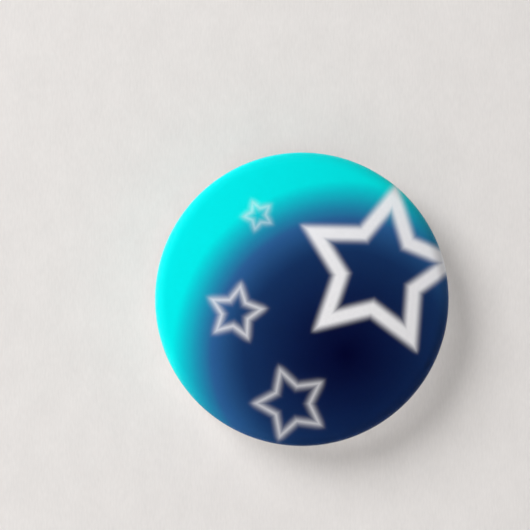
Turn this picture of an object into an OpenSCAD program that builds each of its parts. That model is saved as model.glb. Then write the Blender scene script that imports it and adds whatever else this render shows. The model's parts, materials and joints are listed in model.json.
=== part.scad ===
// Button badge, 57 mm: a domed front shell under a printed disc and a clear film, all turned under
// and pressed on to a dished back plate, whose lanced catch and straps hold a one-wire spring pin.
//
// Each piece is drawn as it lies in the press, face up, with the plane of the back rim at z = 0 and
// the badge's top towards +Y. It is then stood upright: top to +Z, face to -Y, wearer to +Y.

/* [Badge] */
// Outside diameter
badge_d = 57.15; // [57:0.05:57.5]
// Thickness from the back rim to the crown of the dome
badge_t = 8.6; // [8:0.1:10]
// Radius of the shoulder between the dome and the side
shoulder_rad = 3.2; // [2.8:0.1:3.6]
// Outside radius of the edge that is turned under
curl_rad = 1.05; // [1.05:0.01:1.1]
// Height of the centre of the turned edge above the rim plane
curl_z = 1.35; // [1.3:0.05:1.4]
// Radius at which the film and the printed disc end under the edge
wrap_end_r = 27.25; // [27.15:0.05:27.4]

/* [Sheets] */
// Thickness of the tinplate
tin_t = 0.3; // [0.25:0.01:0.3]
// Thickness of the printed disc
paper_t = 0.15; // [0.1:0.01:0.16]
// Thickness of the clear film
film_t = 0.1; // [0.08:0.01:0.12]

/* [Back plate] */
// Radius of the middle of the bead that lies on the cloth
bead_mid_r = 26.5; // [26.4:0.05:26.5]
// Outside radius of the bead's section
bead_rad = 0.5; // [0.45:0.01:0.5]
// How much of the bead's crest is flattened
bead_flat = 0.03; // [0.02:0.01:0.06]
// Radius of the middle of the small ridge inside the bead
ridge_mid_r = 25.6; // [25.55:0.05:25.65]
// Outside radius of the ridge's section
ridge_rad = 0.32; // [0.28:0.01:0.34]
// Radius at the top of the sloping wall
wall_top_r = 25.15; // [25:0.05:25.2]
// Radius at the foot of the sloping wall
floor_r = 20.4; // [20:0.1:21]
// Depth of the flat floor below the rim plane
recess = 4; // [3.6:0.1:4.2]
// Radius of the bend between the wall and the floor
bend_rad = 1.5; // [0.8:0.1:2]

/* [Catch] */
// Distance of the catch from the middle of the badge, sideways
catch_x = 13.25; // [12.5:0.25:13.5]
// Height of the catch's root above the middle of the badge
catch_root_y = 5.1; // [4.9:0.1:5.3]
// Height of the catch's two tips above the middle of the badge
catch_tip_y = 9.3; // [9:0.1:9.5]
// Outside width of the catch
catch_w = 4.6; // [4.4:0.1:5]
// Width of each arm of the catch
arm_w = 0.9; // [0.7:0.05:1]
// Width of the oval pressed into the floor round the catch
pocket_w = 6.8; // [6.4:0.1:7]
// Height of that oval
pocket_h = 5; // [4.8:0.1:5.2]
// Depth of that oval
pocket_d = 0.2; // [0.1:0.05:0.25]

/* [Pin wire] */
// Diameter of the wire
wire_d = 0.8; // [0.7:0.05:0.8]
// Length of the tapered point
point_len = 3; // [2:0.5:5]
// Mean radius of the coil
coil_rad = 1.2; // [1.1:0.05:1.4]
// Rise of each turn of the coil
coil_pitch = 0.82; // [0.82:0.01:0.9]
// Distance of the coil from the middle of the badge, sideways
coil_x = 13.5; // [12:0.5:14]
// Length of the straight leg that the straps hold
leg_len = 9; // [8:0.5:11]
// Width of each strap over the leg
strap_w = 1.6; // [1.2:0.1:2]

/* [Hidden] */
$fn = 180;
eps = 0.01;

badge_r = badge_d / 2;
wire_r = wire_d / 2;
paper_in = film_t;
shell_in = film_t + paper_t;
shell_hollow = shell_in + tin_t;

// The dome: an arc whose crown is at badge_t and which runs smoothly into the shoulder.
shoulder_z = 2.1;
shoulder_mid_r = badge_r - shoulder_rad;
shoulder_drop = badge_t - shoulder_z;
crown_rad = (pow(shoulder_mid_r, 2) + pow(shoulder_drop, 2) - pow(shoulder_rad, 2))
    / (2 * (shoulder_drop - shoulder_rad));
crown_z = badge_t - crown_rad;
crown_angle = asin(shoulder_mid_r / (crown_rad - shoulder_rad));
curl_mid_r = badge_r - curl_rad;

// The back plate's section.
bead_z = bead_rad - bead_flat;
skirt_r = bead_mid_r + bead_rad;
land_z = 0.65;
wall_top_z = 0.55;
flange_z = 1.9;
flange_gap = 0.025;
wall_angle = atan2(recess - wall_top_z, wall_top_r - floor_r);
bend_run = bend_rad * tan(wall_angle / 2);

// The catch, the wire and the straps are placed by x, y and the lift off the floor.
// The catch itself springs from the bottom of the pressed oval.
catch_gap = 0.18;
needle_lift = 1.3;
catch_under = pocket_d + needle_lift + wire_r + catch_gap;
catch_bow = catch_under + tin_t;
needle_y = 8.05;
needle_rise = 0.95;
coil_y = needle_y + needle_rise - coil_rad;
leg_lift = wire_r + 0.02;
leg_y = coil_y - coil_rad;
coil_turns = 1.5;
root_gap = 0.05;
coil_end = coil_turns - (wire_r + root_gap) / (2 * PI * coil_rad);
pivot = [-coil_x, coil_y + coil_rad, leg_lift + coil_turns * coil_pitch];
needle_run = [catch_x, needle_y, needle_lift] - pivot;
needle_dir = needle_run / norm(needle_run);
needle_past = 2.35;
needle_len = norm(needle_run) + needle_past;
pocket_x = 13.9;
pocket_y = 7.05;
window_margin = 0.6;
window_past = 0.1;
strap_clear = 0.05;
strap_places = [0.3, 0.75];
through = 1;

module upright() rotate([90, 0, 0]) children();

// What stands on the floor is drawn with z as its lift towards the wearer.
module on_floor() translate([0, 0, recess]) mirror([0, 0, 1]) children();

// Half of the section enclosed by the face, less an even thickness.
module face_section(inset) {
    intersection() {
        translate([0, crown_z]) circle(crown_rad - inset, $fn = 1440);
        translate([0, crown_z]) polygon([
            [0, 0],
            [0, 2 * crown_rad],
            2 * crown_rad * [tan(crown_angle), 1]
        ]);
        translate([0, shoulder_z]) square([badge_r, badge_t]);
    }
    difference() {
        translate([shoulder_mid_r, shoulder_z]) circle(shoulder_rad - inset);
        translate([0, -badge_r + shoulder_z]) square(badge_r);
        translate([shoulder_mid_r, -badge_r + shoulder_z]) square(badge_r);
    }
    translate([0, curl_z]) square([badge_r - inset, shoulder_z - curl_z]);
    translate([curl_mid_r, curl_z]) circle(curl_rad - inset);
}

// A skin between two insets, whose turned edge stops at end_r.
module face_skin(outer, inner, end_r) rotate_extrude() difference() {
    face_section(outer);
    face_section(inner);
    square([end_r, curl_z]);
}

module clear_film() color([0.92, 0.97, 1, 0.35]) upright() face_skin(0, paper_in, wrap_end_r);

module printed_disc() color("midnightblue") upright() face_skin(paper_in, shell_in, wrap_end_r);

module front_shell() color("silver") upright() face_skin(shell_in, shell_hollow, skirt_r);

module plate_section() {
    // bead, skirt and the flange that the front shell's edge is turned under
    difference() {
        translate([bead_mid_r, bead_z]) circle(bead_rad);
        translate([bead_mid_r, bead_z]) circle(bead_rad - tin_t);
        translate([bead_mid_r - bead_rad, bead_z]) square(2 * bead_rad);
        translate([0, -bead_rad]) square([badge_r, bead_rad]);
    }
    translate([skirt_r - tin_t, bead_z]) square([tin_t, flange_z + tin_t - bead_z]);
    translate([skirt_r - tin_t, flange_z])
        square([badge_r - shell_hollow - flange_gap - skirt_r + tin_t, tin_t]);
    // inner side of the bead, and the land that carries the ridge
    translate([bead_mid_r - bead_rad, bead_z]) square([tin_t, land_z + tin_t - bead_z]);
    translate([wall_top_r - tin_t / 2, land_z])
        square([bead_mid_r - bead_rad + tin_t - wall_top_r + tin_t / 2, tin_t]);
    difference() {
        translate([ridge_mid_r, land_z]) circle(ridge_rad);
        translate([ridge_mid_r - ridge_rad, land_z]) square(2 * ridge_rad);
    }
    // sloping wall and floor
    wall_skin = tin_t * [sin(wall_angle), cos(wall_angle)];
    polygon([
        [wall_top_r, wall_top_z],
        [floor_r, recess],
        [floor_r, recess] + wall_skin,
        [wall_top_r, wall_top_z] + wall_skin
    ]);
    translate([0, recess]) square([floor_r + wall_skin.x, tin_t]);
    difference() {
        polygon([
            [floor_r, recess],
            [floor_r - bend_run, recess],
            [floor_r, recess] + bend_run * [cos(wall_angle), -sin(wall_angle)]
        ]);
        translate([floor_r - bend_run, recess - bend_rad]) circle(bend_rad);
    }
}

// A slot with round ends, w by h, along X.
module slot_shape(w, h) {
    square([w - h, h], center = true);
    for (side = [-1, 1]) translate([side * (w - h) / 2, 0]) circle(h / 2);
}

module place_catch() translate([catch_x, 0, 0]) children();

module place_pocket(low, high) on_floor() translate([pocket_x, pocket_y, low])
    linear_extrude(high - low) children();

// The opening that the catch is lanced from.
module catch_window() {
    window_w = catch_w - 2 * window_margin;
    window_low = catch_root_y + window_margin;
    window_high = catch_tip_y + window_past;
    place_catch() on_floor() translate([-window_w / 2, window_low, -through])
        cube([window_w, window_high - window_low, 2 * through]);
}

// A strip that leaves the floor in a quarter round and runs level over the needle,
// cut to a U whose arms are open at the top.
module catch_hook() place_catch() on_floor() intersection() {
    rotate([90, 0, 90]) linear_extrude(catch_w, center = true) {
        intersection() {
            translate([catch_root_y + catch_bow, 0]) difference() {
                circle(catch_bow);
                circle(catch_under);
            }
            translate([catch_root_y, 0]) square(catch_bow);
        }
        translate([catch_root_y, -tin_t]) square(tin_t);
        translate([catch_root_y + catch_bow, catch_under])
            square([catch_tip_y - catch_root_y - catch_bow, tin_t]);
    }
    translate([0, 0, -through]) linear_extrude(catch_bow + 2 * through) difference() {
        union() {
            translate([0, catch_root_y + catch_w / 2]) circle(catch_w / 2);
            translate([-catch_w / 2, catch_root_y + catch_w / 2]) square([catch_w, catch_w]);
        }
        translate([0, catch_root_y + catch_w / 2]) circle(catch_w / 2 - arm_w);
        translate([-catch_w / 2 + arm_w, catch_root_y + catch_w / 2])
            square([catch_w - 2 * arm_w, catch_w]);
    }
}

// The straps stand at given shares of the leg's length.
module place_straps() for (along = strap_places)
    translate([-coil_x + leg_len * along, leg_y, 0]) children();

// A half round arch over the wire, on two legs that reach down through the slot.
module strap() {
    arch = wire_r + strap_clear;
    rotate([90, 0, 90]) linear_extrude(strap_w, center = true) {
        difference() {
            translate([0, leg_lift]) circle(arch + tin_t);
            translate([0, leg_lift]) circle(arch);
            translate([-2 * arch, leg_lift - 4 * arch]) square(4 * arch);
        }
        for (side = [-1, 1]) translate([side * (arch + tin_t / 2), (leg_lift - tin_t) / 2])
            square([tin_t, leg_lift + tin_t], center = true);
    }
}

module strap_slot() cube([strap_w, 2 * (wire_r + strap_clear), 2 * through], center = true);

module back_plate() color("lightgray") upright() {
    difference() {
        union() {
            rotate_extrude() plate_section();
            place_pocket(-pocket_d - tin_t, 0) slot_shape(pocket_w + 2 * tin_t, pocket_h + 2 * tin_t);
        }
        place_pocket(-pocket_d, eps) slot_shape(pocket_w, pocket_h);
        catch_window();
        on_floor() place_straps() strap_slot();
    }
    translate([0, 0, pocket_d]) catch_hook();
    on_floor() place_straps() strap();
}

// The wire: a leg, then the coil, up to just short of the needle's root.
WIRE_SIDES = 16;
TURN_STEPS = 24;
function coil_point(turn) = [
    -coil_x + coil_rad * cos(-90 - 360 * turn),
    coil_y + coil_rad * sin(-90 - 360 * turn),
    leg_lift + coil_pitch * turn
];
function coil_out(turn) = [cos(-90 - 360 * turn), sin(-90 - 360 * turn), 0];
function coil_along(turn) = let (
    round = [sin(-90 - 360 * turn), -cos(-90 - 360 * turn), 0] * 2 * PI * coil_rad,
    run = round + [0, 0, coil_pitch]
) run / norm(run);
function ring(mid, out, along) = [
    for (side = [0 : WIRE_SIDES - 1])
        let (turn = 360 * side / WIRE_SIDES)
        mid + wire_r * (cos(turn) * out + sin(turn) * cross(along, out))
];

coil_steps = ceil(coil_end * TURN_STEPS);
wire_rings = concat(
    [ring([-coil_x + leg_len, leg_y, leg_lift], [0, -1, 0], [-1, 0, 0])],
    [for (step = [0 : coil_steps])
        let (turn = coil_end * step / coil_steps)
        ring(coil_point(turn), coil_out(turn), step == 0 ? [-1, 0, 0] : coil_along(turn))]
);

module sweep(rings) {
    sides = len(rings[0]);
    last = len(rings) - 1;
    polyhedron(
        points = [for (r = rings) each r],
        faces = concat(
            [[for (side = [0 : sides - 1]) side]],
            [[for (side = [sides - 1 : -1 : 0]) last * sides + side]],
            [for (r = [0 : last - 1]) for (side = [0 : sides - 1]) let (next = (side + 1) % sides)
                [r * sides + side, (r + 1) * sides + side, (r + 1) * sides + next, r * sides + next]]
        )
    );
}

module pin_spring() color("gainsboro") upright() on_floor() sweep(wire_rings);

module pin_needle() color("gainsboro") upright() on_floor()
    translate(pivot)
    rotate([0, acos(needle_dir.z), atan2(needle_dir.y, needle_dir.x)]) {
        tip_r = 0.05;
        sphere(wire_r);
        cylinder(needle_len - point_len, wire_r, wire_r);
        translate([0, 0, needle_len - point_len]) cylinder(point_len, wire_r, tip_r);
    }

clear_film();
printed_disc();
front_shell();
back_plate();
pin_spring();
pin_needle();
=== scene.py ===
"""A 57 mm button badge: domed front under clear film, dished tinplate back and spring pin."""

import json
import math

import bpy
from mathutils import Matrix, Vector

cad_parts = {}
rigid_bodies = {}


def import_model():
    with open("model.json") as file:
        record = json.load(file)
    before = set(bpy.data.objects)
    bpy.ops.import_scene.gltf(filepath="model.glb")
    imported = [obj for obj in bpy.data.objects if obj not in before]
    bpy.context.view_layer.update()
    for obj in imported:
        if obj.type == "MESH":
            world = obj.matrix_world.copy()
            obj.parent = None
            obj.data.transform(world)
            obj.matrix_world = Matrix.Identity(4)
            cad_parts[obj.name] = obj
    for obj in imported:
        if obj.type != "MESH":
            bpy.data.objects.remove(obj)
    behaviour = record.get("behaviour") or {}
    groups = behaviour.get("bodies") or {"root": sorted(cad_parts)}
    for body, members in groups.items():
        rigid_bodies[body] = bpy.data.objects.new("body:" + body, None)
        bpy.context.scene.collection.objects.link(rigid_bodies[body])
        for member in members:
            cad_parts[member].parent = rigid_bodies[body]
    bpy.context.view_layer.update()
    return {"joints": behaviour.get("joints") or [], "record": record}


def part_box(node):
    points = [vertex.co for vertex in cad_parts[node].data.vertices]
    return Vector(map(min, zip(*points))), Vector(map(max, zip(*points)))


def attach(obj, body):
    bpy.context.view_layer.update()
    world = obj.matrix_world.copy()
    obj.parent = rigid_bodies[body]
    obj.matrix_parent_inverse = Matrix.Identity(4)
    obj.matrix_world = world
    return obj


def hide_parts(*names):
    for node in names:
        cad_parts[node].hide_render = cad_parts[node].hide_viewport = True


bl_info = {
    "name": "Button badge",
    "version": (1, 0, 0),
    "blender": (4, 5, 0),
    "location": "3D View > Sidebar > Badge",
    "description": "Builds a pin-back button badge, piece by piece, round its packed frame",
    "category": "Add Mesh",
}

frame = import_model()

MM = 0.001
FILM_LOW, FILM_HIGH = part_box("clear_film")
PLATE_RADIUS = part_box("back_plate")[1].x
BADGE_RADIUS = FILM_HIGH.x
BADGE_THICKNESS = -FILM_LOW.y
# the needle turns about its root in the coil, and its mount runs along it
PIVOT = Vector(frame["joints"][0]["pos_m"])
SHANK_DIR = Vector(frame["record"]["mounts"][1]["axis"]).normalized()
# steps of a full turn on the lathe
LATHE_STEPS = 256
# points nearer than this are one point
TOUCHING = 2e-7
# degrees between two faces from which their edge is a sharp one, on turned and on bent pieces
TURNED_EDGE = 40
BENT_EDGE = 50
# radius left by the burr on a cut edge
BURR = 0.07 * MM
BURR_STEPS = 2


def linear(hex_colour):
    """The linear red, green and blue of an sRGB colour such as "#1F4C88"."""
    parts = [int(hex_colour[i : i + 2], 16) / 255 for i in (1, 3, 5)]
    return tuple(c / 12.92 if c < 0.04045 else ((c + 0.055) / 1.055) ** 2.4 for c in parts)


def length(name, about, millimetres):
    """A size in the panel, given in millimetres."""
    return bpy.props.FloatProperty(
        name=name, description=about, default=millimetres * MM, unit="LENGTH", precision=5
    )


def colour(name, about, hex_colour):
    """A colour in the panel, given as sRGB hex."""
    return bpy.props.FloatVectorProperty(
        name=name, description=about, default=linear(hex_colour), subtype="COLOR", size=3
    )


class BadgeSizes(bpy.types.PropertyGroup):
    """The sizes of the badge's own features."""

    film: length("Film", "Thickness of the clear film", 0.1)
    paper: length("Printed disc", "Thickness of the printed disc", 0.15)
    tin: length("Tinplate", "Thickness of the tinplate", 0.3)
    shoulder: length("Shoulder", "Radius of the shoulder round the dome", 3.2)
    shoulder_height: length("Shoulder height", "Height of the shoulder's centre above the rim", 2.1)
    edge: length("Edge", "Outside radius of the edge that is turned under", 1.05)
    edge_height: length("Edge height", "Height of the turned edge's centre above the rim", 1.35)
    wrap_end: length("Wrap end", "Radius at which film and paper end under the edge", 27.25)
    bead_middle: length("Bead", "Radius of the middle of the bead", 26.5)
    bead: length("Bead section", "Outside radius of the bead's section", 0.5)
    bead_flat: length("Bead flat", "How much of the bead's crest is flattened", 0.03)
    ridge_middle: length("Ridge", "Radius of the middle of the small ridge", 25.6)
    ridge: length("Ridge section", "Half of the ridge's width", 0.4)
    ridge_height: length("Ridge height", "Height of the ridge above the land", 0.3)
    land: length("Land", "Depth of the land between bead and wall", 0.65)
    flange: length("Flange", "Height of the flange inside the turned edge", 1.9)
    wall_top: length("Wall top", "Radius at the top of the sloping wall", 25.15)
    wall_lip: length("Wall lip", "Depth of the top of the sloping wall", 0.55)
    floor: length("Floor", "Radius of the flat floor", 20.4)
    recess: length("Recess", "Depth of the flat floor below the rim", 4.0)
    bend: length("Bend", "Radius of the bend from wall to floor", 1.5)
    catch_side: length("Catch side", "Distance of the catch from the middle, sideways", 13.25)
    catch_root: length("Catch root", "Height of the catch's root above the middle", 5.1)
    catch_tip: length("Catch tip", "Height of the catch's tips above the middle", 9.3)
    catch_width: length("Catch width", "Outside width of the catch", 4.75)
    catch_arm: length("Catch arm", "Width of each arm of the catch", 1.1)
    catch_under: length("Catch lift", "Clear height under the catch's arms", 1.88)
    oval_side: length("Oval side", "Distance of the pressed oval from the middle", 13.95)
    oval_up: length("Oval height", "Height of the pressed oval above the middle", 7.15)
    oval_width: length("Oval width", "Width of the pressed oval", 6.1)
    oval_tall: length("Oval tall", "Height of the pressed oval itself", 4.6)
    oval_depth: length("Oval depth", "Depth of the pressed oval", 0.12)
    wire: length("Wire", "Diameter of the pin wire", 0.8)
    coil: length("Coil", "Mean radius of the coil", 1.2)
    coil_pitch: length("Coil pitch", "Rise of each turn of the coil", 0.82)
    leg: length("Leg", "Length of the straight leg under the straps", 9.0)
    strap: length("Strap", "Width of each strap over the leg", 1.6)
    needle: length("Needle", "Length of the needle from its root", 29.12)
    point: length("Point", "Length of the needle's tapered point", 3.0)


class BadgeColours(bpy.types.PropertyGroup):
    """The colours of the print, the metals and the stage."""

    print_core: colour("Print core", "Darkest colour of the print", "#03062C")
    print_navy: colour("Print navy", "Navy round the core", "#15305D")
    print_blue: colour("Print blue", "Blue round the navy", "#2A5C92")
    print_cyan: colour("Print cyan", "Cyan of the outer part", "#05E1E1")
    star: colour("Stars", "Cool white of the outlined stars", "#F6F6F8")
    paper: colour("Paper", "Unprinted paper", "#F4F4F2")
    tin: colour("Tinplate", "Bright tinplate", "#D6D6D7")
    wire: colour("Wire", "Nickel plating of the wire", "#DEDEDD")
    stage: colour("Stage", "Paper of the floor and the backdrop", "#E3E0DE")


# ---------------------------------------------------------------- modelling by hand


def deselect():
    """Object mode with nothing selected, so that an operator acts on the new piece alone."""
    if bpy.context.object and bpy.context.object.mode != "OBJECT":
        bpy.ops.object.mode_set(mode="OBJECT")
    bpy.ops.object.select_all(action="DESELECT")


def finish_mesh(name):
    """Merges what touches, turns every face outwards and leaves edit mode. Returns the piece."""
    bpy.ops.mesh.select_all(action="SELECT")
    bpy.ops.mesh.remove_doubles(threshold=TOUCHING)
    bpy.ops.mesh.normals_make_consistent(inside=False)
    bpy.ops.object.mode_set(mode="OBJECT")
    piece = bpy.context.object
    piece.name = name
    piece.data.name = name
    bpy.ops.object.transform_apply(location=True, rotation=True, scale=True)
    return piece


def draw_outline(points, closed):
    """A chain of edges through the points, from a plane merged to the first. Stays in edit mode."""
    deselect()
    bpy.ops.mesh.primitive_plane_add(size=MM, location=points[0])
    bpy.ops.object.transform_apply(location=True, rotation=True, scale=True)
    bpy.ops.object.mode_set(mode="EDIT")
    bpy.ops.mesh.select_mode(type="VERT")
    bpy.ops.mesh.select_all(action="SELECT")
    bpy.ops.mesh.merge(type="CENTER")
    route = list(points) + ([points[0]] if closed else [])
    for start, end in zip(route, route[1:]):
        step = Vector(end) - Vector(start)
        bpy.ops.mesh.extrude_region_move(TRANSFORM_OT_translate={"value": step})
    bpy.ops.mesh.select_all(action="SELECT")


def turn(name, points, centre, axis, steps=LATHE_STEPS):
    """A solid turned from an outline, as on a lathe."""
    draw_outline(points, closed=False)
    bpy.ops.mesh.spin(steps=steps, angle=math.tau, center=centre, axis=axis)
    return finish_mesh(name)


def combine(piece, tool, how):
    """Cuts, keeps or adds the tool's shape with a Boolean that is applied, and removes the tool."""
    deselect()
    piece.select_set(True)
    bpy.context.view_layer.objects.active = piece
    modifier = piece.modifiers.new("join", "BOOLEAN")
    modifier.operation = how
    modifier.solver = "EXACT"
    modifier.object = tool
    bpy.ops.object.modifier_apply(modifier=modifier.name)
    bpy.data.objects.remove(tool)
    return piece


def round_edges(piece, angle):
    """Rounds every edge sharper than the angle by a burr, with a Bevel that is applied."""
    deselect()
    piece.select_set(True)
    bpy.context.view_layer.objects.active = piece
    modifier = piece.modifiers.new("round", "BEVEL")
    modifier.width = BURR
    modifier.segments = BURR_STEPS
    modifier.limit_method = "ANGLE"
    modifier.angle_limit = math.radians(angle)
    bpy.ops.object.modifier_apply(modifier=modifier.name)
    return piece


def soften(piece, grain_size, passes):
    """Rounds a small lanced tongue all over: a fine even mesh, smoothed in passes and applied."""
    deselect()
    piece.select_set(True)
    bpy.context.view_layer.objects.active = piece
    even = piece.modifiers.new("even", "REMESH")
    even.mode = "VOXEL"
    even.voxel_size = grain_size
    even.use_smooth_shade = True
    bpy.ops.object.modifier_apply(modifier=even.name)
    relax = piece.modifiers.new("relax", "SMOOTH")
    relax.factor = 0.5
    relax.iterations = passes
    bpy.ops.object.modifier_apply(modifier=relax.name)
    return piece


def smooth(piece, angle):
    """Smooth shading that leaves broad flats flat and is broken at edges sharper than the angle."""
    deselect()
    piece.select_set(True)
    bpy.context.view_layer.objects.active = piece
    bpy.ops.object.shade_smooth_by_angle(angle=math.radians(angle))
    modifier = piece.modifiers.new("flats", "WEIGHTED_NORMAL")
    modifier.keep_sharp = True
    bpy.ops.object.modifier_apply(modifier=modifier.name)
    return piece


def select_vertices(test):
    """Selects, in edit mode, the vertices whose place passes the test."""
    bpy.ops.mesh.select_mode(type="VERT")
    bpy.ops.mesh.select_all(action="DESELECT")
    bpy.ops.object.mode_set(mode="OBJECT")
    for vertex in bpy.context.object.data.vertices:
        vertex.select = test(vertex.co)
    bpy.ops.object.mode_set(mode="EDIT")


def arc(centre, radius, start, end, steps):
    """Points (radius, depth) along an arc of a section, angles in degrees."""
    angles = (math.radians(start + (end - start) * i / steps) for i in range(steps + 1))
    return [(centre[0] + radius * math.cos(a), centre[1] + radius * math.sin(a)) for a in angles]


def in_section(points):
    """Section points (radius, depth below the rim) as points of the badge, depth towards the face."""
    return [Vector((radius, -depth, 0)) for radius, depth in points]


def on_floor(side, up, lift):
    """A point of the badge, given by its lift off the plate's floor towards the wearer."""
    return Vector((side, lift - bpy.context.scene.badge_sizes.recess, up))


def finish_piece(piece, node, material, body="badge"):
    """Gives the piece its material and lets it stand for its CAD node."""
    piece.data.materials.clear()
    piece.data.materials.append(material)
    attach(piece, body)
    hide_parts(node)
    if any(abs(value) > TOUCHING for value in piece.location):
        raise RuntimeError(f"{piece.name} isn't at the origin")


# ---------------------------------------------------------------- materials

# noise keeps mostly within this span
NOISE_SPAN = {"From Min": 0.3, "From Max": 0.7}


# a Mix node's inputs are known by number: 0 is the share of the second, 2 and 3 the two numbers,
# 6 and 7 the two colours; its output 2 is the colour
def add_node(tree, kind, inputs=None, **settings):
    """A node with its settings; an input is a value, a socket, or a node whose first output feeds it."""
    node = tree.nodes.new(kind)
    for name, value in settings.items():
        setattr(node, name, value)
    for key, value in (inputs or {}).items():
        if isinstance(value, bpy.types.Node):
            value = value.outputs[0]
        if isinstance(value, bpy.types.NodeSocket):
            tree.links.new(value, node.inputs[key])
        else:
            node.inputs[key].default_value = value
    return node


def new_material(name):
    """An empty material and its tree."""
    material = bpy.data.materials.new(name)
    material.use_nodes = True
    material.node_tree.nodes.clear()
    return material, material.node_tree


def finish_material(tree, surface):
    """Joins the shader to the material's output."""
    add_node(tree, "ShaderNodeOutputMaterial", {"Surface": surface})


def object_coords(tree):
    """The point on the piece, in the badge's own metres."""
    return add_node(tree, "ShaderNodeTexCoord").outputs["Object"]


def rgba(values):
    """A colour with full alpha."""
    return (*values, 1.0)


def grain(tree, point, sizes, detail):
    """A grain from 0 to 1 that has the given sizes in millimetres along x, y and z."""
    fine = tuple(1 / (size * MM) for size in sizes)
    scaled = add_node(tree, "ShaderNodeVectorMath", {0: point, 1: fine}, operation="MULTIPLY")
    return add_node(tree, "ShaderNodeTexNoise", {"Vector": scaled, "Scale": 1.0, "Detail": detail})


# share of the plain reflection that the film shows
FILM_SHEEN = 0.4


def polyester_film():
    """Clear PET film, drawn tight: no colour of its own, only a soft gloss that grows to the edge."""
    material, tree = new_material("polyester_film")
    clear = add_node(tree, "ShaderNodeBsdfTransparent", {"Color": (1, 1, 1, 1)})
    gloss = add_node(tree, "ShaderNodeBsdfGlossy", {"Color": (1, 1, 1, 1), "Roughness": 0.16})
    # PET's own index is near 1.6; a lower one with part of its strength gives the badge's faint sheen
    edge = add_node(tree, "ShaderNodeFresnel", {"IOR": 1.32})
    # the film's inner side lies on the print and adds no gloss
    inner = add_node(tree, "ShaderNodeNewGeometry").outputs["Backfacing"]
    outer = add_node(tree, "ShaderNodeMath", {0: 1.0, 1: inner}, operation="SUBTRACT")
    sheen = add_node(tree, "ShaderNodeMath", {0: outer, 1: FILM_SHEEN}, operation="MULTIPLY")
    share = add_node(tree, "ShaderNodeMath", {0: edge, 1: sheen}, operation="MULTIPLY")
    finish_material(tree, add_node(tree, "ShaderNodeMixShader", {"Fac": share, 1: clear, 2: gloss}))
    return material


# x and height of the middle, tip radius, a tip's angle, width of the outline, half of its soft
# edge and strength of the ink
STARS = (
    (14.84, 5.73, 17.68, 78.4, 3.28, 1.12, 0.9),
    (-12.78, -2.43, 6.32, 79.5, 1.3, 1.38, 0.96),
    (-2.17, -19.95, 7.9, 107.7, 1.13, 1.45, 1.0),
    (-8.47, 16.15, 3.5, 112.4, 0.76, 1.38, 0.78),
)
STAR_SECTOR = math.radians(36)
# radius of the notches, as a share of the tips'
STAR_NOTCH = 0.53
# how far inside the tips the ink begins to fade, as a share of the soft edge
TIP_FADE = 0.7
# an edge that fades evenly to the eye loses light faster by this power
EYE_GRADE = 2.2
# middle of the print's colour steps, their radii, and the radius at which the ramp ends
PRINT_MIDDLE = (8.25, -10.4)
PRINT_RINGS = (0.0, 19.5, 25.7, 33.3)
PRINT_REACH = 45.0
STOPS_BETWEEN = 4
# height over the rim under which the turned paper is bare, and half of the step between
BARE_PAPER = 1.35
BARE_STEP = 0.1


def on_screen(value):
    """A linear value as the eye grades it, from 0 to 1."""
    return 12.92 * value if value < 0.0031308 else 1.055 * value ** (1 / 2.4) - 0.055


def blended_stops(rings, colours):
    """Radii and linear colours, all but the last, of a ramp that looks even to the eye, as ink blends."""
    for r0, r1, c0, c1 in zip(rings, rings[1:], colours, colours[1:]):
        for step in range(STOPS_BETWEEN):
            share = step / STOPS_BETWEEN
            seen = [on_screen(a) * (1 - share) + on_screen(b) * share for a, b in zip(c0, c1)]
            hex_colour = "#" + "".join(f"{round(value * 255):02X}" for value in seen)
            yield r0 + (r1 - r0) * share, linear(hex_colour)


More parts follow.
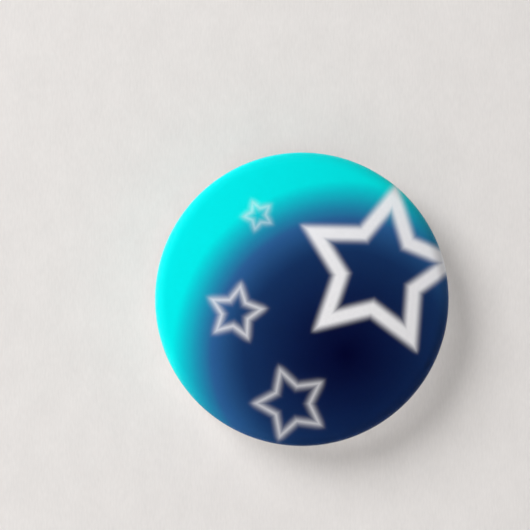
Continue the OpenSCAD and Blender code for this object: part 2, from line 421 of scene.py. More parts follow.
def outlined_star():
    """A node group that says how strongly one outlined five-point star is inked at a point."""
    tree = bpy.data.node_groups.new("outlined_star", "ShaderNodeTree")
    for name in ("Point", "Middle"):
        tree.interface.new_socket(name, in_out="INPUT", socket_type="NodeSocketVector")
    for name in ("Turn", "Tip", "Band", "Soft"):
        tree.interface.new_socket(name, in_out="INPUT", socket_type="NodeSocketFloat")
    tree.interface.new_socket("Ink", in_out="OUTPUT", socket_type="NodeSocketFloat")
    given = add_node(tree, "NodeGroupInput").outputs
    point, middle, tip, soft = (given[name] for name in ("Point", "Middle", "Tip", "Soft"))
    away = add_node(tree, "ShaderNodeVectorMath", {0: point, 1: middle}, operation="SUBTRACT")
    across = add_node(tree, "ShaderNodeSeparateXYZ", {0: away}).outputs
    # how far the point lies from the middle, and its angle folded into one half of a point of the star
    square_x = add_node(tree, "ShaderNodeMath", {0: across["X"], 1: 2.0}, operation="POWER")
    square_z = add_node(tree, "ShaderNodeMath", {0: across["Z"], 1: 2.0}, operation="POWER")
    square = add_node(tree, "ShaderNodeMath", {0: square_x, 1: square_z}, operation="ADD")
    reach = add_node(tree, "ShaderNodeMath", {0: square}, operation="SQRT")
    bearing = add_node(tree, "ShaderNodeMath", {0: across["Z"], 1: across["X"]}, operation="ARCTAN2")
    turned = add_node(tree, "ShaderNodeMath", {0: bearing, 1: given["Turn"]}, operation="SUBTRACT")
    folded = add_node(tree, "ShaderNodeMath", {0: turned, 1: STAR_SECTOR}, operation="PINGPONG")
    cosine = add_node(tree, "ShaderNodeMath", {0: folded}, operation="COSINE")
    sine = add_node(tree, "ShaderNodeMath", {0: folded}, operation="SINE")
    forward = add_node(tree, "ShaderNodeMath", {0: reach, 1: cosine}, operation="MULTIPLY")
    along = add_node(tree, "ShaderNodeMath", {0: forward, 1: tip}, operation="SUBTRACT")
    aside = add_node(tree, "ShaderNodeMath", {0: reach, 1: sine}, operation="MULTIPLY")
    # how far outside the straight side between a tip and a notch
    run_x = STAR_NOTCH * math.cos(STAR_SECTOR) - 1
    run_y = STAR_NOTCH * math.sin(STAR_SECTOR)
    run = math.hypot(run_x, run_y)
    ahead = add_node(tree, "ShaderNodeMath", {0: along, 1: run_y / run}, operation="MULTIPLY")
    beside = add_node(tree, "ShaderNodeMath", {0: aside, 1: -run_x / run}, operation="MULTIPLY")
    outside = add_node(tree, "ShaderNodeMath", {0: ahead, 1: beside}, operation="ADD")
    # the outline is a soft band just inside that side
    half = add_node(tree, "ShaderNodeMath", {0: given["Band"], 1: 0.5}, operation="MULTIPLY")
    signed = add_node(tree, "ShaderNodeMath", {0: outside, 1: half}, operation="ADD")
    off_line = add_node(tree, "ShaderNodeMath", {0: signed}, operation="ABSOLUTE")
    full = add_node(tree, "ShaderNodeMath", {0: half, 1: soft}, operation="SUBTRACT")
    none = add_node(tree, "ShaderNodeMath", {0: half, 1: soft}, operation="ADD")
    # the glow rounds the tips off instead of running on past them
    fade = {0: soft, 1: -TIP_FADE, 2: tip}
    tip_full = add_node(tree, "ShaderNodeMath", fade, operation="MULTIPLY_ADD")
    tip_none = add_node(tree, "ShaderNodeMath", {0: tip, 1: soft}, operation="ADD")
    band, rounding = (
        add_node(
            tree,
            "ShaderNodeMapRange",
            {"Value": value, "From Min": inked, "From Max": bare, "To Min": 1.0, "To Max": 0.0},
            interpolation_type="SMOOTHSTEP",
        )
        for value, inked, bare in ((off_line, full, none), (reach, tip_full, tip_none))
    )
    seen = add_node(tree, "ShaderNodeMath", {0: band, 1: rounding}, operation="MULTIPLY")
    ink = add_node(tree, "ShaderNodeMath", {0: seen, 1: EYE_GRADE}, operation="POWER")
    add_node(tree, "NodeGroupOutput", {"Ink": ink})
    return tree


def printed_ink(tree, point):
    """The colour of the print at a point: round steps from navy to cyan, and the four stars."""
    colours = bpy.context.scene.badge_colours
    flat = add_node(tree, "ShaderNodeVectorMath", {0: point, 1: (1, 0, 1)}, operation="MULTIPLY")
    middle = (PRINT_MIDDLE[0] * MM, 0, PRINT_MIDDLE[1] * MM)
    away = add_node(tree, "ShaderNodeVectorMath", {0: flat, 1: middle}, operation="DISTANCE")
    reach = {0: away.outputs["Value"], 1: PRINT_REACH * MM}
    share = add_node(tree, "ShaderNodeMath", reach, operation="DIVIDE")
    ramp = add_node(tree, "ShaderNodeValToRGB", {"Fac": share})
    stops = ramp.color_ramp.elements
    stops[1].position = PRINT_RINGS[-1] / PRINT_REACH
    stops[1].color = rgba(colours.print_cyan)
    inks = (colours.print_core, colours.print_navy, colours.print_blue, colours.print_cyan)
    for ring, ink in blended_stops(PRINT_RINGS, inks):
        stop = stops.new(ring / PRINT_REACH) if ring else stops[0]
        stop.color = rgba(ink)
    shade = ramp.outputs["Color"]
    group = outlined_star()
    for side, up, tip, angle, band, soft, strength in STARS:
        place = {
            "Point": point,
            "Middle": (side * MM, 0, up * MM),
            "Turn": math.radians(angle),
            "Tip": tip * MM,
            "Band": band * MM,
            "Soft": soft * MM,
        }
        star = add_node(tree, "ShaderNodeGroup", place, node_tree=group)
        inked = add_node(tree, "ShaderNodeMath", {0: star, 1: strength}, operation="MULTIPLY")
        over = {0: inked, 6: shade, 7: rgba(colours.star)}
        shade = add_node(tree, "ShaderNodeMix", over, data_type="RGBA").outputs[2]
    return shade


def printed_paper():
    """Litho print on coated paper: flat ink with a trace of fibre, and bare white on its turned edge."""
    colours = bpy.context.scene.badge_colours
    material, tree = new_material("litho_printed_paper")
    point = object_coords(tree)
    depth = add_node(tree, "ShaderNodeSeparateXYZ", {0: point}).outputs["Y"]
    low, high = -(BARE_PAPER + BARE_STEP) * MM, -(BARE_PAPER - BARE_STEP) * MM
    bare = add_node(tree, "ShaderNodeMapRange", {"Value": depth, "From Min": low, "From Max": high})
    turned = {0: bare, 6: printed_ink(tree, point), 7: rgba(colours.paper)}
    shade = add_node(tree, "ShaderNodeMix", turned, data_type="RGBA").outputs[2]
    fibre = grain(tree, point, (0.45, 0.45, 0.45), 4)
    uneven = {"Value": fibre, **NOISE_SPAN, "To Min": 0.975, "To Max": 1.025}
    mottle = add_node(tree, "ShaderNodeMapRange", uneven)
    shade = add_node(tree, "ShaderNodeVectorMath", {0: shade, "Scale": mottle}, operation="SCALE")
    bump = add_node(tree, "ShaderNodeBump", {"Strength": 0.15, "Distance": 0.01 * MM, "Height": fibre})
    matt = {"Base Color": shade, "Roughness": 0.7, "Specular IOR Level": 0.0, "Normal": bump}
    finish_material(tree, add_node(tree, "ShaderNodeBsdfPrincipled", matt))
    return material


def rolled_tinplate(name):
    """Tin-coated steel sheet: a grey mirror dulled by straight rolling lines and a few handling marks."""
    colours = bpy.context.scene.badge_colours
    material, tree = new_material(name)
    point = object_coords(tree)
    # rolling lines are near 0.02 mm wide, drawn at 0.12 and 0.5 mm so that they show
    lines = grain(tree, point, (0.12, 40, 14), 3)
    bands = grain(tree, point, (0.5, 40, 40), 2)
    marks = grain(tree, point, (2.6, 2.6, 2.6), 3)
    rolled = add_node(tree, "ShaderNodeMix", {0: 0.35, 2: lines, 3: bands}, data_type="FLOAT")
    worn = add_node(tree, "ShaderNodeMix", {0: 0.3, 2: rolled, 3: marks}, data_type="FLOAT")
    tint = add_node(tree, "ShaderNodeMapRange", {"Value": rolled, **NOISE_SPAN, "To Min": 0.96})
    streaked = {0: tuple(colours.tin), "Scale": tint}
    shade = add_node(tree, "ShaderNodeVectorMath", streaked, operation="SCALE")
    dulled = {"Value": worn, **NOISE_SPAN, "To Min": 0.11, "To Max": 0.2}
    roughness = add_node(tree, "ShaderNodeMapRange", dulled)
    bump = add_node(tree, "ShaderNodeBump", {"Strength": 0.15, "Distance": 0.006 * MM, "Height": rolled})
    metal = {"Base Color": shade, "Metallic": 1.0, "Roughness": roughness, "Normal": bump}
    finish_material(tree, add_node(tree, "ShaderNodeBsdfPrincipled", metal))
    return material


def nickel_wire():
    """Nickel-plated spring wire: a bright warm mirror with faint lengthwise lines from drawing."""
    colours = bpy.context.scene.badge_colours
    material, tree = new_material("nickel_plated_wire")
    drawn = grain(tree, object_coords(tree), (6, 0.12, 0.12), 3)
    dulled = {"Value": drawn, **NOISE_SPAN, "To Min": 0.12, "To Max": 0.22}
    roughness = add_node(tree, "ShaderNodeMapRange", dulled)
    bump = add_node(tree, "ShaderNodeBump", {"Strength": 0.3, "Distance": 0.004 * MM, "Height": drawn})
    metal = {"Base Color": rgba(colours.wire), "Metallic": 1.0, "Roughness": roughness, "Normal": bump}
    finish_material(tree, add_node(tree, "ShaderNodeBsdfPrincipled", metal))
    return material


def textured_paper():
    """Uncoated felt-marked paper: matt, pale and faintly uneven, from the felt that it dried on."""
    colours = bpy.context.scene.badge_colours
    material, tree = new_material("felt_marked_paper")
    point = object_coords(tree)
    fibres = grain(tree, point, (0.35, 1.5, 1.5), 2)
    clouds = grain(tree, point, (5, 5, 8), 3)
    felt = add_node(tree, "ShaderNodeMix", {0: 0.45, 2: fibres, 3: clouds}, data_type="FLOAT")
    uneven = {"Value": felt, **NOISE_SPAN, "To Min": 0.96, "To Max": 1.04}
    tinted = {0: tuple(colours.stage), "Scale": add_node(tree, "ShaderNodeMapRange", uneven)}
    shade = add_node(tree, "ShaderNodeVectorMath", tinted, operation="SCALE")
    bump = add_node(tree, "ShaderNodeBump", {"Strength": 0.4, "Distance": 0.05 * MM, "Height": felt})
    matt = {"Base Color": shade, "Roughness": 0.9, "Specular IOR Level": 0.1, "Normal": bump}
    surface = add_node(tree, "ShaderNodeBsdfPrincipled", matt)
    # the sheet shows from the front only, so that it doesn't hide the badge's back
    behind = add_node(tree, "ShaderNodeNewGeometry").outputs["Backfacing"]
    clear = add_node(tree, "ShaderNodeBsdfTransparent")
    finish_material(tree, add_node(tree, "ShaderNodeMixShader", {"Fac": behind, 1: surface, 2: clear}))
    return material


# ---------------------------------------------------------------- the pressed skins of the face

# gap between one skin and the next
AIR = 0.01 * MM
CROWN_STEPS = 40
SHOULDER_STEPS = 16
EDGE_STEPS = 18


def face_path(inset, end_radius):
    """Half of the badge's outer section, set in: crown, shoulder, side and the edge turned under."""
    sizes = bpy.context.scene.badge_sizes
    middle = BADGE_RADIUS - sizes.shoulder
    drop = BADGE_THICKNESS - sizes.shoulder_height
    crown = (middle**2 + drop**2 - sizes.shoulder**2) / (2 * (drop - sizes.shoulder))
    slope = 90 - math.degrees(math.asin(middle / (crown - sizes.shoulder)))
    points = arc((0, BADGE_THICKNESS - crown), crown - inset, 90, slope, CROWN_STEPS)
    shoulder = (middle, sizes.shoulder_height)
    points += arc(shoulder, sizes.shoulder - inset, slope, 0, SHOULDER_STEPS)[1:]
    edge = (BADGE_RADIUS - sizes.edge, sizes.edge_height)
    edge_radius = sizes.edge - inset
    end = math.acos(max(-1, (end_radius - edge[0]) / edge_radius))
    return points + arc(edge, edge_radius, 0, -math.degrees(end), EDGE_STEPS)


def face_skin(name, outer, inner, end_radius):
    """One sheet of the face between two insets, turned under at its edge."""
    outline = face_path(outer, end_radius) + face_path(inner, end_radius)[::-1]
    piece = turn(name, in_section(outline), (0, 0, 0), (0, 1, 0))
    return smooth(piece, TURNED_EDGE)


class MESH_OT_badge_film(bpy.types.Operator):
    """The clear film drawn over the print"""

    bl_idname = "mesh.badge_film"
    bl_label = "Clear film"

    def execute(self, context):
        sizes = context.scene.badge_sizes
        piece = face_skin("film_skin", 0, sizes.film - AIR, sizes.wrap_end)
        finish_piece(piece, "clear_film", polyester_film())
        return {"FINISHED"}


class MESH_OT_badge_print(bpy.types.Operator):
    """The printed disc under the film"""

    bl_idname = "mesh.badge_print"
    bl_label = "Printed disc"

    def execute(self, context):
        sizes = context.scene.badge_sizes
        inner = sizes.film + sizes.paper - AIR
        piece = face_skin("print_skin", sizes.film, inner, sizes.wrap_end)
        finish_piece(piece, "printed_disc", printed_paper())
        return {"FINISHED"}


class MESH_OT_badge_shell(bpy.types.Operator):
    """The domed tinplate shell that carries film and print"""

    bl_idname = "mesh.badge_shell"
    bl_label = "Front shell"

    def execute(self, context):
        sizes = context.scene.badge_sizes
        outer = sizes.film + sizes.paper
        piece = face_skin("shell_skin", outer, outer + sizes.tin, sizes.bead_middle + sizes.bead)
        finish_piece(piece, "front_shell", rolled_tinplate("shell_tinplate"))
        return {"FINISHED"}


# ---------------------------------------------------------------- the back plate

PLATE_STEPS = 10
BEAD_STEPS = 24
WALL_STEPS = 12
# how far the middle of the sloping wall is hollowed
WALL_SAG = 0.14 * MM


def plate_outline():
    """Half of the back plate's section: floor, bend, wall, ridge, bead, flange and the hidden side."""
    sizes = bpy.context.scene.badge_sizes
    wall_angle = math.atan2(sizes.recess - sizes.wall_lip, sizes.wall_top - sizes.floor)
    run = sizes.bend * math.tan(wall_angle / 2)
    # the sheet's thickness across the slope, as a radius and a depth
    skin_r, skin_z = sizes.tin * math.sin(wall_angle), sizes.tin * math.cos(wall_angle)
    bead = (sizes.bead_middle, sizes.bead - sizes.bead_flat)
    ridge = (sizes.ridge_middle, sizes.land)
    squash = bead[1] / sizes.bead
    hollow = sizes.bead - sizes.tin
    skirt = sizes.bead_middle + sizes.bead
    under = sizes.land + sizes.tin
    wall_slip = (under - sizes.wall_lip - skin_z) / math.tan(wall_angle)
    bend = (sizes.floor - run, sizes.recess - sizes.bend)
    # the side that shows, from the middle of the floor out to the rim
    points = [(0, sizes.recess)]
    points += arc(bend, sizes.bend, 90, 90 - math.degrees(wall_angle), PLATE_STEPS)
    foot = points[-1]
    for step in range(1, WALL_STEPS + 1):
        along = step / WALL_STEPS
        sag = 4 * WALL_SAG * along * (1 - along)
        out = foot[0] + (sizes.wall_top - foot[0]) * along
        down = foot[1] + (sizes.wall_lip - foot[1]) * along
        points.append((out + sag * math.sin(wall_angle), down + sag * math.cos(wall_angle)))
    share = (sizes.land - sizes.wall_lip) / skin_z
    points += [(sizes.wall_top + skin_r * share, sizes.land)]
    roll = arc(ridge, sizes.ridge, 180, 360, BEAD_STEPS)
    lower = sizes.ridge_height / sizes.ridge
    points += [(r, ridge[1] + (z - ridge[1]) * lower) for r, z in roll]
    points += [(sizes.bead_middle - sizes.bead, sizes.land)]
    crest = arc(bead, sizes.bead, 180, 360, BEAD_STEPS)
    points += [(r, bead[1] + (z - bead[1]) * squash) for r, z in crest]
    points += [(skirt, sizes.flange), (PLATE_RADIUS, sizes.flange)]
    # the hidden side, from the rim back to the middle
    points += [(PLATE_RADIUS, sizes.flange + sizes.tin)]
    points += [(skirt - sizes.tin, sizes.flange + sizes.tin)]
    points += arc(bead, hollow, 360, 180, PLATE_STEPS)
    points += [(sizes.bead_middle - hollow, under)]
    points += [(sizes.wall_top + skin_r - wall_slip, under)]
    points += [(sizes.floor + skin_r, sizes.recess + skin_z)]
    points += [(sizes.floor + skin_r, sizes.recess + sizes.tin), (0, sizes.recess + sizes.tin)]
    return points


def pull_apart(piece, middle, distance):
    """Moves the halves of a round tool apart sideways, into an oval with a flat top and bottom."""
    deselect()
    bpy.context.view_layer.objects.active = piece
    piece.select_set(True)
    bpy.ops.object.mode_set(mode="EDIT")
    for side in (-1, 1):
        select_vertices(lambda place: (place.x - middle) * side > TOUCHING)
        bpy.ops.transform.translate(value=(side * distance, 0, 0))
    bpy.ops.object.mode_set(mode="OBJECT")
    return piece


OVAL_STEPS = 64
# width of the slope round the oval, and the share of it that lies inside
OVAL_SLOPE = 0.5 * MM
SLOPE_INSIDE = 0.6
SLOPE_STEPS = 8
# how far the slope runs out past the floor, for a clean cut
OVAL_PAST = 0.03 * MM


def oval_tool(name, profile):
    """A long oval turned from (radius, lift) points and then pulled apart."""
    sizes = bpy.context.scene.badge_sizes
    middle = on_floor(sizes.oval_side, sizes.oval_up, 0)
    points = [middle + Vector((radius, lift, 0)) for radius, lift in profile]
    # half a step on, so that no vertex but the poles stands on the middle line
    half_step = Matrix.Rotation(math.pi / OVAL_STEPS, 3, "Y")
    turned = [middle + half_step @ (point - middle) for point in points]
    piece = turn(name, turned, middle, (0, 1, 0), OVAL_STEPS)
    return pull_apart(piece, middle.x, (sizes.oval_width - sizes.oval_tall) / 2)


def pressed_oval(plate):
    """The shallow oval pressed round the catch, with the boss that it raises behind."""
    sizes = bpy.context.scene.badge_sizes
    radius = sizes.oval_tall / 2
    low = -sizes.oval_depth - sizes.tin
    boss = [(0, low), (radius, low), (radius + sizes.tin, low + sizes.tin / 2)]
    boss += [(radius + sizes.tin, -sizes.tin / 2), (0, -sizes.tin / 2)]
    combine(plate, oval_tool("boss", boss), "UNION")
    middle = (OVAL_PAST - sizes.oval_depth) / 2
    swing = (OVAL_PAST + sizes.oval_depth) / 2
    dish = [(0, -sizes.oval_depth)]
    for step in range(SLOPE_STEPS + 1):
        share = step / SLOPE_STEPS
        out = radius + OVAL_SLOPE * (share - SLOPE_INSIDE)
        dish.append((out, middle - swing * math.cos(math.pi * share)))
    dish += [(dish[-1][0], sizes.oval_depth), (0, sizes.oval_depth)]
    return combine(plate, oval_tool("dish", dish), "DIFFERENCE")


CORNER_STEPS = 6


def cut_box(plate, low, high, corner):
    """Cuts a box with rounded upright corners right through the plate's floor."""
    deselect()
    bpy.ops.mesh.primitive_cube_add(size=1, location=(low + high) / 2)
    tool = bpy.context.object
    tool.scale = high - low
    bpy.ops.object.transform_apply(location=True, rotation=True, scale=True)
    bpy.ops.object.mode_set(mode="EDIT")
    bpy.ops.mesh.select_mode(type="EDGE")
    bpy.ops.mesh.select_all(action="DESELECT")
    bpy.ops.object.mode_set(mode="OBJECT")
    for edge in tool.data.edges:
        start, end = (tool.data.vertices[i].co for i in edge.vertices)
        edge.select = abs(start.y - end.y) > corner
    bpy.ops.object.mode_set(mode="EDIT")
    bpy.ops.mesh.bevel(offset=corner, segments=CORNER_STEPS)
    bpy.ops.object.mode_set(mode="OBJECT")
    return combine(plate, tool, "DIFFERENCE")


def extruded(name, outline, depth):
    """A solid pushed out of a flat closed outline."""
    draw_outline(outline, closed=True)
    bpy.ops.mesh.remove_doubles(threshold=TOUCHING)
    bpy.ops.mesh.edge_face_add()
    bpy.ops.mesh.extrude_region_move(TRANSFORM_OT_translate={"value": depth})
    return finish_mesh(name)


# height of the round belly of the U, and radius of its tips
BELLY_DROP = 2.7 * MM
TIP_ROUND = 0.32 * MM
BOW_STEPS = 32
TIP_STEPS = 6


def catch_outline():
    """The catch as the wearer sees it: a deep U with round tips, open at the top."""
    sizes = bpy.context.scene.badge_sizes
    outer = sizes.catch_width / 2
    inner = outer - sizes.catch_arm
    belly = sizes.catch_root + BELLY_DROP
    tip = sizes.catch_tip - TIP_ROUND

    def bow(width, drop, start, end):
        return [(width * x, belly + drop * z) for x, z in arc((0, 0), 1, start, end, BOW_STEPS)]

    points = bow(outer, BELLY_DROP, 180, 360)
    points += arc((outer - TIP_ROUND, tip), TIP_ROUND, 0, 90, TIP_STEPS)
    points += arc((inner + TIP_ROUND, tip), TIP_ROUND, 90, 180, TIP_STEPS)
    points += bow(inner, BELLY_DROP - sizes.catch_arm, 360, 180)
    points += arc((-inner - TIP_ROUND, tip), TIP_ROUND, 0, 90, TIP_STEPS)
    points += arc((-outer + TIP_ROUND, tip), TIP_ROUND, 90, 180, TIP_STEPS)
    return points


# how far the window in the floor stays inside the catch, and runs on past its tips
WINDOW_MARGIN = 0.6 * MM
WINDOW_PAST = 0.1 * MM
WINDOW_CORNER = 0.3 * MM
# how far a cutting tool starts from the floor
THROUGH = 3 * MM
BEND_STEPS = 20
# share of the tin's thickness that the catch's root reaches into the floor
CATCH_ROOTED = 0.8
# half width of the nick in the belly, and its height in that unit
NICK = 0.28 * MM
NICK_RISE = 1.5
# size of the catch's even mesh, and how often it is smoothed
CATCH_GRAIN = 0.05 * MM
CATCH_PASSES = 28


def add_catch(plate):
    """The lanced catch: a strip that rises in a quarter round over the needle, cut to a U."""
    sizes = bpy.context.scene.badge_sizes
    reach = sizes.catch_width / 2 - WINDOW_MARGIN
    low = on_floor(sizes.catch_side - reach, sizes.catch_root + WINDOW_MARGIN, -THROUGH)
    high = on_floor(sizes.catch_side + reach, sizes.catch_tip + WINDOW_PAST, THROUGH)
    cut_box(plate, low, high, WINDOW_CORNER)
    under = sizes.catch_under + sizes.oval_depth
    bow = under + sizes.tin
    centre = (sizes.catch_root + bow, -sizes.oval_depth)
    rooted = -sizes.oval_depth - CATCH_ROOTED * sizes.tin
    strip = [(sizes.catch_root, rooted)]
    strip += arc(centre, bow, 180, 90, BEND_STEPS)
    strip += [(sizes.catch_tip, centre[1] + bow), (sizes.catch_tip, centre[1] + under)]
    strip += arc(centre, under, 90, 180, BEND_STEPS)
    strip += [(sizes.catch_root + sizes.tin, rooted)]
    side = sizes.catch_side - sizes.catch_width / 2
    width = Vector((sizes.catch_width, 0, 0))
    catch = extruded("catch", [on_floor(side, up, lift) for up, lift in strip], width)
    below = [on_floor(sizes.catch_side + x, up, -THROUGH) for x, up in catch_outline()]
    past = Vector((0, 3 * THROUGH, 0))
    combine(catch, extruded("cutter", below, past), "INTERSECT")
    nick = [
        on_floor(sizes.catch_side + x, sizes.catch_root + up, -THROUGH)
        for x, up in ((-NICK, -NICK), (NICK, -NICK), (0, NICK_RISE * NICK))
    ]
    combine(catch, extruded("nick", nick, past), "DIFFERENCE")
    soften(catch, CATCH_GRAIN, CATCH_PASSES)
    return combine(plate, catch, "UNION")


# places of the two straps along the wire's leg
STRAP_SHARES = (0.3, 0.75)
STRAP_CLEAR = 0.05 * MM
# gap between the leg and the floor
LEG_CLEAR = 0.02 * MM
# share of the tin's thickness that a strap's feet reach into the floor
STRAP_ROOTED = 0.9
SLOT_CORNER = 0.15 * MM


def add_straps(plate):
    """The two straps pressed up out of the floor over the wire's leg, and the slots that they leave."""
    sizes = bpy.context.scene.badge_sizes
    arch = sizes.wire / 2 + STRAP_CLEAR
    up = PIVOT.z - 2 * sizes.coil
    lift = sizes.wire / 2 + LEG_CLEAR
    for share in STRAP_SHARES:
        side = PIVOT.x + share * sizes.leg
        low = on_floor(side - sizes.strap / 2, up - arch, -THROUGH)
        high = on_floor(side + sizes.strap / 2, up + arch, THROUGH)
        cut_box(plate, low, high, SLOT_CORNER)
    for share in STRAP_SHARES:
        side = PIVOT.x + share * sizes.leg - sizes.strap / 2
        rooted = -STRAP_ROOTED * sizes.tin
        section = [(up + arch + sizes.tin, rooted)]
        section += arc((up, lift), arch + sizes.tin, 0, 180, BEND_STEPS)
        section += [(up - arch - sizes.tin, rooted), (up - arch, rooted)]
        section += arc((up, lift), arch, 180, 0, BEND_STEPS)
        section += [(up + arch, rooted)]
        points = [on_floor(side, across, height) for across, height in section]
        strap = extruded("strap", points, Vector((sizes.strap, 0, 0)))
        round_edges(strap, BENT_EDGE)
        combine(plate, strap, "UNION")
    return plate


class MESH_OT_badge_plate(bpy.types.Operator):
    """The dished back plate with its catch and straps"""

    bl_idname = "mesh.badge_plate"
    bl_label = "Back plate"

    def execute(self, context):
        plate = turn("plate_stamping", in_section(plate_outline()), (0, 0, 0), (0, 1, 0))
        round_edges(plate, TURNED_EDGE)
        pressed_oval(plate)
        add_catch(plate)
        add_straps(plate)
        smooth(plate, TURNED_EDGE)
        finish_piece(plate, "back_plate", rolled_tinplate("back_tinplate"))
        return {"FINISHED"}


# ---------------------------------------------------------------- the pin

COIL_TURNS = 1.5
COIL_STEPS = 48
# the wire has 4 sides and 2 more for each step of rounding
WIRE_ROUNDING = 8


class MESH_OT_badge_spring(bpy.types.Operator):
    """The wire's straight leg and its coil, bent from one piece with the needle"""

    bl_idname = "mesh.badge_spring"
    bl_label = "Leg and coil"

    def execute(self, context):
        sizes = context.scene.badge_sizes
        middle = PIVOT.z - sizes.coil
        lift = sizes.wire / 2 + LEG_CLEAR
        route = [on_floor(PIVOT.x + sizes.leg, middle - sizes.coil, lift)]
        steps = round(COIL_TURNS * COIL_STEPS)
        for step in range(steps + 1):
            turned = step / COIL_STEPS
            angle = -math.tau * (0.25 + turned)
            side = PIVOT.x + sizes.coil * math.cos(angle)
            up = middle + sizes.coil * math.sin(angle)
            route.append(on_floor(side, up, lift + sizes.coil_pitch * turned))
        draw_outline(route, closed=False)
        bpy.ops.object.mode_set(mode="OBJECT")
        bpy.ops.object.convert(target="CURVE")
        wire = bpy.context.object
        wire.data.bevel_depth = sizes.wire / 2
        wire.data.bevel_resolution = WIRE_ROUNDING
        wire.data.use_fill_caps = True
        bpy.ops.object.convert(target="MESH")
        bpy.ops.object.mode_set(mode="EDIT")
        wire = finish_mesh("wire_leg_and_coil")
        smooth(wire, BENT_EDGE)
        finish_piece(wire, "pin_spring", nickel_wire())
        return {"FINISHED"}


NEEDLE_STEPS = 64
ROOT_STEPS = 10
POINT_STEPS = 12
# power by which the point narrows, 0.5 being a blunt round one and 1 a straight cone
POINT_TAPER = 0.7


class MESH_OT_badge_needle(bpy.types.Operator):
    """The needle, with its rounded root in the coil and its ground point"""

    bl_idname = "mesh.badge_needle"
    bl_label = "Needle"

    def execute(self, context):
        sizes = context.scene.badge_sizes
        radius = sizes.wire / 2
        profile = arc((0, 0), radius, 180, 90, ROOT_STEPS)
        start = sizes.needle - sizes.point
        for step in range(POINT_STEPS + 1):
            share = step / POINT_STEPS
            profile.append((start + sizes.point * share, radius * (1 - share) ** POINT_TAPER))
        aside = SHANK_DIR.orthogonal().normalized()
        points = [PIVOT + SHANK_DIR * along + aside * out for along, out in profile]
        needle = turn("wire_needle", points, PIVOT, SHANK_DIR, NEEDLE_STEPS)
        smooth(needle, TURNED_EDGE)
        finish_piece(needle, "pin_needle", nickel_wire(), body="needle")
        return {"FINISHED"}


# ---------------------------------------------------------------- the stage

# focal length in millimetres, for the usual frame 36 mm wide
LENS = 135
VIEW_AT = (-7.16 * MM, -387.8 * MM, 6.64 * MM)
# the backdrop stands clear of the badge, so that the shadow on it is wide and soft
SHEET_DEPTH = 4.2 * MM
SHEET_REACH = 0.6
FLOOR_REACH = 4
# how far the floor lies under the badge's middle
FLOOR_DROP = 0.09
# name, place, diameter in metres and power in watts of each softbox
LAMPS = (
    ("key", (-1.04, -0.98, 0.88), 1.06, 25.0),
    ("fill", (0.45, -1.0, 0.4), 1.0, 0.8),
    ("back_key", (-0.45, 0.55, 0.4), 0.35, 4.0),
)
# brightness of the room from straight ahead of the face, over the side, to straight behind it
ROOM_SHADES = (
    (0.0, 0.004),
    (0.08, 0.004),
    (0.22, 0.16),
    (0.5, 0.42),
    (0.7, 0.7),
    (0.82, 1.2),
    (0.94, 1.25),
    (0.98, 0.24),
    (1.0, 0.22),
)


def add_sheet(name, place, size, lean, paper):
    """A square sheet of the stage, flat or leaned back about X, that the metal doesn't mirror."""
    deselect()
    bpy.ops.mesh.primitive_plane_add(size=size, location=place, rotation=(lean, 0, 0))
    bpy.ops.object.transform_apply(location=True, rotation=True, scale=True)
    sheet = bpy.context.object
    sheet.name = name
    sheet.data.materials.append(paper)
    sheet.visible_glossy = False
    return sheet


def add_lamp(name, place, size, power):
    """A round softbox that faces the badge."""
    lamp = bpy.data.lights.new(name, "AREA")
    lamp.shape = "DISK"
    lamp.size = size
    lamp.energy = power
    holder = bpy.data.objects.new(name, lamp)
    holder.location = place
    holder.rotation_euler = (-Vector(place)).to_track_quat("-Z", "Y").to_euler()
    bpy.context.scene.collection.objects.link(holder)
    return holder


def studio_world():
    """A pale room for the eye, and for the metal and film a soft one that is dark straight ahead."""
    world = bpy.data.worlds.new("studio")
    bpy.context.scene.world = world
    world.use_nodes = True
    tree = world.node_tree
    tree.nodes.clear()
    colours = bpy.context.scene.badge_colours
    direction = add_node(tree, "ShaderNodeTexCoord").outputs["Generated"]
    across = add_node(tree, "ShaderNodeSeparateXYZ", {0: direction}).outputs
    ahead = {"Value": across["Y"], "From Min": -1, "From Max": 1}
    ramp = add_node(tree, "ShaderNodeValToRGB", {"Fac": add_node(tree, "ShaderNodeMapRange", ahead)})
    stops = ramp.color_ramp.elements
    for index, (place, value) in enumerate(ROOM_SHADES):
        stop = stops[index] if index < 2 else stops.new(place)
        stop.position = place
        stop.color = (value, value, value, 1)
    # darker straight below, and brighter far to the left
    below = {"Value": across["Z"], "From Min": -0.98, "From Max": -0.86, "To Min": 0.25}
    left = {"Value": across["X"], "From Min": -0.5, "From Max": -0.95, "To Min": 0.75, "To Max": 2.0}
    height, aside = (
        add_node(tree, "ShaderNodeMapRange", inputs, interpolation_type="SMOOTHSTEP")
        for inputs in (below, left)
    )
    strength = add_node(tree, "ShaderNodeMath", {0: height, 1: aside}, operation="MULTIPLY")
    seen = add_node(tree, "ShaderNodeBackground", {"Color": rgba(colours.stage), "Strength": 1.0})
    light = add_node(tree, "ShaderNodeBackground", {"Color": ramp, "Strength": strength})
    eye = add_node(tree, "ShaderNodeLightPath").outputs["Is Camera Ray"]
    mix = add_node(tree, "ShaderNodeMixShader", {"Fac": eye, 1: light, 2: seen})
    add_node(tree, "ShaderNodeOutputWorld", {"Surface": mix})


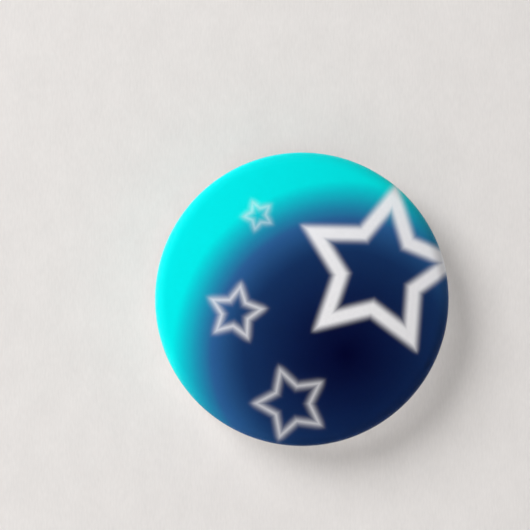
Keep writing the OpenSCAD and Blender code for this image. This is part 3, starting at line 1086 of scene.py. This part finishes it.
class SCENE_OT_badge_stage(bpy.types.Operator):
    """The paper sheet and floor, the soft lamps and the camera"""

    bl_idname = "scene.badge_stage"
    bl_label = "Stage"

    def execute(self, context):
        paper = textured_paper()
        backdrop_at = (0, SHEET_DEPTH, SHEET_REACH / 2 - FLOOR_DROP)
        backdrop = add_sheet("backdrop", backdrop_at, SHEET_REACH, math.pi / 2, paper)
        add_sheet("floor", (0, 0, -FLOOR_DROP), FLOOR_REACH, 0, paper)
        # the eye alone sees the backdrop, so that it throws no light or shade on the badge's back
        backdrop.visible_diffuse = False
        backdrop.visible_transmission = False
        backdrop.visible_shadow = False
        studio_world()
        key, fill, back_key = (add_lamp(*lamp) for lamp in LAMPS)
        key.visible_glossy = False
        fill.visible_glossy = False
        # the back key is kept off the film, whose edge it would line with light in the front view
        lit = bpy.data.collections.new("lit_from_behind")
        for thing in bpy.data.objects:
            if thing.type == "MESH" and thing.name != "film_skin":
                lit.objects.link(thing)
        back_key.light_linking.receiver_collection = lit
        view = bpy.data.cameras.new("view")
        view.lens = LENS
        eye = bpy.data.objects.new("view", view)
        eye.location = VIEW_AT
        eye.rotation_euler = (math.pi / 2, 0, 0)
        context.scene.collection.objects.link(eye)
        context.scene.camera = eye
        context.scene.view_settings.view_transform = "Standard"
        return {"FINISHED"}


class VIEW3D_PT_badge(bpy.types.Panel):
    """The badge's sizes, colours and pieces"""

    bl_label = "Button badge"
    bl_space_type = "VIEW_3D"
    bl_region_type = "UI"
    bl_category = "Badge"

    def draw(self, context):
        for group in (context.scene.badge_sizes, context.scene.badge_colours):
            for name in group.bl_rna.properties.keys():
                if name not in ("rna_type", "name"):
                    self.layout.prop(group, name)
        for operator in OPERATORS:
            self.layout.operator(operator.bl_idname)


OPERATORS = (
    MESH_OT_badge_film,
    MESH_OT_badge_print,
    MESH_OT_badge_shell,
    MESH_OT_badge_plate,
    MESH_OT_badge_spring,
    MESH_OT_badge_needle,
    SCENE_OT_badge_stage,
)
CLASSES = (BadgeSizes, BadgeColours, *OPERATORS, VIEW3D_PT_badge)


def register():
    for each in CLASSES:
        bpy.utils.register_class(each)
    bpy.types.Scene.badge_sizes = bpy.props.PointerProperty(type=BadgeSizes)
    bpy.types.Scene.badge_colours = bpy.props.PointerProperty(type=BadgeColours)


def unregister():
    del bpy.types.Scene.badge_colours
    del bpy.types.Scene.badge_sizes
    for each in reversed(CLASSES):
        bpy.utils.unregister_class(each)


def main():
    """Makes every piece in order."""
    register()
    bpy.ops.mesh.badge_film()
    bpy.ops.mesh.badge_print()
    bpy.ops.mesh.badge_shell()
    bpy.ops.mesh.badge_plate()
    bpy.ops.mesh.badge_spring()
    bpy.ops.mesh.badge_needle()
    bpy.ops.scene.badge_stage()
    deselect()


if __name__ == "__main__":
    main()
